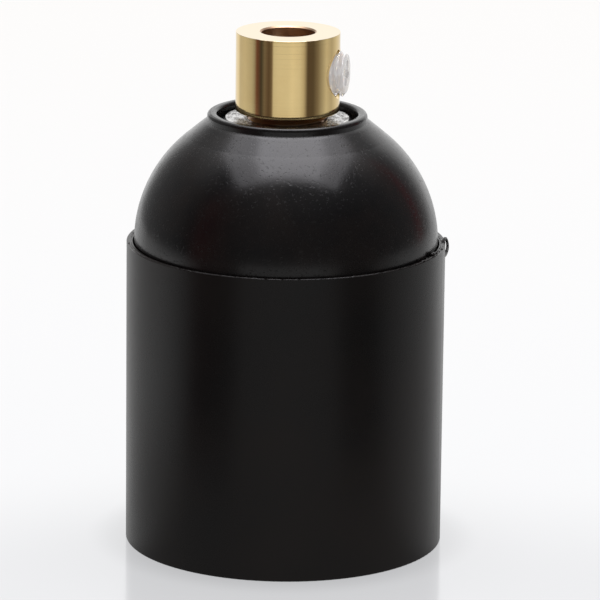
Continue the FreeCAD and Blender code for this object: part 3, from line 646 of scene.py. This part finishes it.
def smooth_step(tree, value, start, end, low=0.0, high=1.0):
    """Low up to the start and high from the end, with a soft change between."""
    return add_node(tree, "ShaderNodeMapRange", {"interpolation_type": "SMOOTHSTEP"},
                    i0=value, i1=start, i2=end, i3=low, i4=high).outputs[0]


start_piece()
bpy.ops.mesh.primitive_grid_add(size=FLOOR_SIZE, x_subdivisions=8, y_subdivisions=8)
floor = bpy.context.active_object
floor.name = "floor"
floor.location.z = -0.01 * MM

floor_finish = bpy.data.materials.new("pale_sheet")
floor_finish.use_nodes = True
floor_finish.cycles.emission_sampling = "NONE"
tree = floor_finish.node_tree
tree.nodes.clear()
place = add_node(tree, "ShaderNodeTexCoord").outputs["Object"]
reach = add_node(tree, "ShaderNodeVectorMath", {"operation": "LENGTH"}, i0=place).outputs["Value"]
backward = (-math.sin(CAMERA_TURN), math.cos(CAMERA_TURN), 0)
behind = add_node(tree, "ShaderNodeVectorMath", {"operation": "DOT_PRODUCT"},
                  i0=place, i1=backward).outputs["Value"]
near_tone = blend_colours(tree, smooth_step(tree, behind, -0.02, 0.028), FRONT_TONE, BACK_TONE)
tone = blend_colours(tree, straight_step(tree, behind, 0.04, 0.40), near_tone, FAR_TONE)
glow = add_node(tree, "ShaderNodeEmission",
                Color=tone, Strength=smooth_step(tree, reach, *FOOT_SHADE, 0.86, 1.0))
matt = add_node(tree, "ShaderNodeBsdfDiffuse", Color=SHEET)
gloss = add_node(tree, "ShaderNodeBsdfGlossy", Color=SHEET_GLOSS, Roughness=0.12)
sheet = add_node(tree, "ShaderNodeAddShader", i0=matt.outputs[0], i1=glow.outputs[0])
glossy_sheet = add_node(tree, "ShaderNodeAddShader", i0=sheet.outputs[0], i1=gloss.outputs[0])

round_floor, _ = turned_from_front(tree, place)
beyond_foot = blend_colours(
    tree, smooth_step(tree, reach, *TABLE_EDGE),
    tones_round(tree, round_floor, TABLE_TOP), tones_round(tree, round_floor, CARDS))
table = blend_colours(
    tree, smooth_step(tree, reach, *FOOT_PATCH),
    tones_round(tree, round_floor, BY_THE_FOOT), beyond_foot)
mirrored = add_node(tree, "ShaderNodeEmission", Strength=1.0, Color=table)
away = add_node(tree, "ShaderNodeBsdfTransparent")
in_shine = add_node(tree, "ShaderNodeMixShader", Fac=smooth_step(tree, reach, *CARDS_END),
                    i1=mirrored.outputs[0], i2=away.outputs[0])
ray = add_node(tree, "ShaderNodeLightPath").outputs
shown = add_node(tree, "ShaderNodeMixShader", Fac=ray["Is Glossy Ray"],
                 i1=glossy_sheet.outputs[0], i2=in_shine.outputs[0])
add_node(tree, "ShaderNodeOutputMaterial", Surface=shown.outputs[0])
give(floor_finish, floor)


# ---------------------------------------------------------------- studio
# The room is plain: white behind the object, dim in front of it and at its sides. A large soft
# lamp hangs overhead, a little to the right, in the middle of a wider diffuser.

BACKDROP, ROOM_LIGHT = (0.99, 0.985, 0.98), (0.40, 0.40, 0.42)
LAMP_COLOUR = (0.965, 0.95, 1.0)
WALLS = [
    (-180, 1.15), (-162, 1.10), (-150, 0.35), (-135, 0.24), (-110, 0.20), (-90, 0.12), (-80, 0.03),
    (-70, (0.14, 0.02, 0.02)), (-58, (0.06, 0.012, 0.012)), (-45, 0.05), (-20, 0.10), (0, 0.08),
    (30, 0.07), (55, 0.04), (80, 0.07), (105, 0.13), (119, 0.12), (123, (0.42, 0.03, 0.04)),
    (127, 0.14), (138, 0.30), (150, 0.95), (165, 1.15), (180, 1.15)]
CEILING = [
    (-180, 1.3), (-150, 0.75), (-120, 0.55), (-100, 0.40), (-85, 0.08), (-60, 0.07), (-30, 0.14),
    (0, 0.15), (30, 0.16), (60, 0.12), (90, 0.18), (110, 0.36), (135, 0.60), (160, 1.2), (180, 1.2)]

world = bpy.data.worlds.new("studio")
bpy.context.scene.world = world
world.use_nodes = True
world.cycles.sampling_method = "NONE"
tree = world.node_tree
tree.nodes.clear()
look = add_node(tree, "ShaderNodeTexCoord").outputs["Generated"]
round_room, upward = turned_from_front(tree, look)
room = blend_colours(
    tree, smooth_step(tree, upward, 0.50, 0.76),
    tones_round(tree, round_room, WALLS), tones_round(tree, round_room, CEILING))
ray = add_node(tree, "ShaderNodeLightPath").outputs
by_shine = work_out(tree, "MAXIMUM", ray["Is Glossy Ray"], ray["Is Transmission Ray"])
unseen = blend_colours(tree, by_shine, ROOM_LIGHT, room)
studio = blend_colours(tree, ray["Is Camera Ray"], unseen, BACKDROP)
background = add_node(tree, "ShaderNodeBackground", Color=studio, Strength=1.0)
add_node(tree, "ShaderNodeOutputWorld", Surface=background.outputs[0])


def soft_lamp(name, wide, deep, tone, place):
    """A flat lamp facing down, its tone being how bright its face looks; it is square to the camera."""
    data = bpy.data.lights.new(name, "AREA")
    data.shape = "RECTANGLE"
    data.size = wide
    data.size_y = deep
    data.energy = tone * math.pi * wide * deep
    data.color = LAMP_COLOUR
    lamp = bpy.data.objects.new(name, data)
    bpy.context.scene.collection.objects.link(lamp)
    lamp.location = Matrix.Rotation(CAMERA_TURN, 3, "Z") @ Vector(place)
    lamp.rotation_euler = (0, 0, CAMERA_TURN)
    lamp.visible_camera = False


soft_lamp("overhead_lamp", wide=0.44, deep=0.50, tone=2.9, place=(0.03, 0.04, 0.65))
soft_lamp("overhead_diffuser", wide=0.84, deep=0.60, tone=2.2, place=(0.01, 0.03, 0.66))


# ---------------------------------------------------------------- camera
# The camera stands well back behind a long lens, a little to the right and above, so that it looks
# down by about 15 degrees. It is rolled by a little over half a degree.

camera_data = bpy.data.cameras.new("camera")
camera_data.lens = 296.148
camera_data.sensor_width = 36.0
camera = bpy.data.objects.new("camera", camera_data)
camera.location = (0.126826, -0.587826, 0.186716)
camera.rotation_euler = (math.radians(75.46603), math.radians(-0.63125), math.radians(12.16365))
bpy.context.scene.collection.objects.link(camera)
bpy.context.scene.camera = camera
bpy.context.scene.view_settings.view_transform = "Standard"
